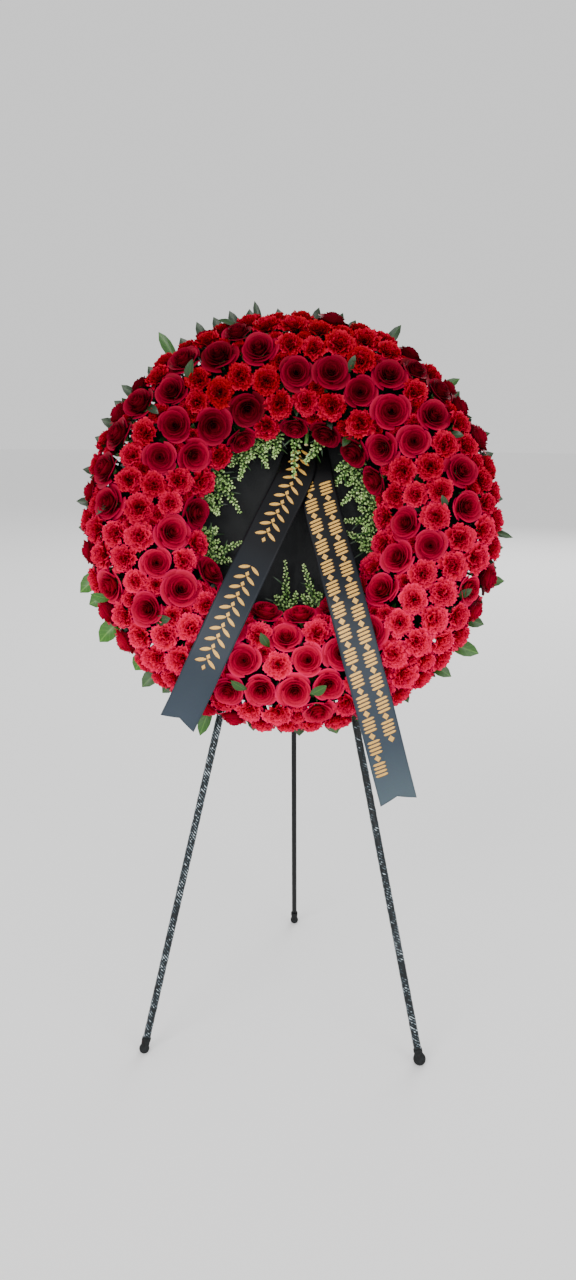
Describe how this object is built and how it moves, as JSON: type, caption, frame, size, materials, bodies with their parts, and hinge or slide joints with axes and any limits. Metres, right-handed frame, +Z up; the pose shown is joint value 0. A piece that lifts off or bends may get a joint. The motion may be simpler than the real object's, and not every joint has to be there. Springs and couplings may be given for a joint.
{
  "type": "funeral wreath on a folding easel",
  "caption": "Round standing wreath of red roses and carnations with two black ribbons, on a three-legged easel whose back leg folds.",
  "frame": {"origin": "on the floor under the middle of the whole", "axes": "+Z up; the wreath's face looks towards -Y, leaning back by 12 degrees; +X is to the viewer's right"},
  "size_m": [0.9835, 0.6432, 1.6852],
  "materials": {
    "petals": "soft velvety petals, crimson roses and brighter carnations",
    "leaves": "glossy dark green leaves",
    "pale_buds": "matte pale green buds",
    "tray": "moulded dark green plastic tray",
    "cloth": "plain black backing cloth",
    "ribbon": "black satin ribbon",
    "leg_paint": "satin black paint on steel tube",
    "film": "wrinkled glossy black plastic film wound on the legs",
    "foot_rubber": "moulded black rubber",
    "bolt_steel": "zinc plated steel"
  },
  "bodies": {
    "root": {"tray_ring": "tray", "cloth_panel": "cloth", "bloom_sector_01": "petals", "bloom_sector_02": "petals", "bloom_sector_03": "petals", "bloom_sector_04": "petals", "bloom_sector_05": "petals", "bloom_sector_06": "petals", "bloom_sector_07": "petals", "bloom_sector_08": "petals", "bloom_sector_09": "petals", "bloom_sector_10": "petals", "bloom_sector_11": "petals", "bloom_sector_12": "petals", "leaf_spray_01": "leaves", "leaf_spray_02": "leaves", "leaf_spray_03": "leaves", "leaf_spray_04": "leaves", "leaf_spray_05": "leaves", "leaf_spray_06": "leaves", "leaf_spray_07": "leaves", "leaf_spray_08": "leaves", "leaf_spray_09": "leaves", "leaf_spray_10": "leaves", "leaf_spray_11": "leaves", "leaf_spray_12": "leaves", "sprig_01": "pale_buds", "sprig_02": "pale_buds", "sprig_03": "pale_buds", "sprig_04": "pale_buds", "sprig_05": "pale_buds", "sprig_06": "pale_buds", "sprig_07": "pale_buds", "sprig_08": "pale_buds", "sprig_09": "pale_buds", "sprig_10": "pale_buds", "sprig_11": "pale_buds", "sprig_12": "pale_buds", "sprig_13": "pale_buds", "sprig_14": "pale_buds", "sprig_15": "pale_buds", "sprig_16": "pale_buds", "ribbon_left": "ribbon", "ribbon_right": "ribbon", "leg_left": "leg_paint", "leg_right": "leg_paint", "leg_wrap_left": "film", "leg_wrap_right": "film", "foot_left": "foot_rubber", "foot_right": "foot_rubber", "cross_bar": "leg_paint", "peg_left": "leg_paint", "peg_right": "leg_paint", "head_bracket": "leg_paint", "hinge_bolt": "bolt_steel", "hinge_nut": "bolt_steel"},
    "back_leg": {"back_leg": "leg_paint", "foot_back": "foot_rubber"}
  },
  "joints": [
    {"name": "back_leg_fold", "type": "hinge", "parent": "root", "child": "back_leg", "pos_m": [0, 0.0104, 1.39671], "axis": [-1, 0, 0], "range_deg": [0, 24]}
  ]
}
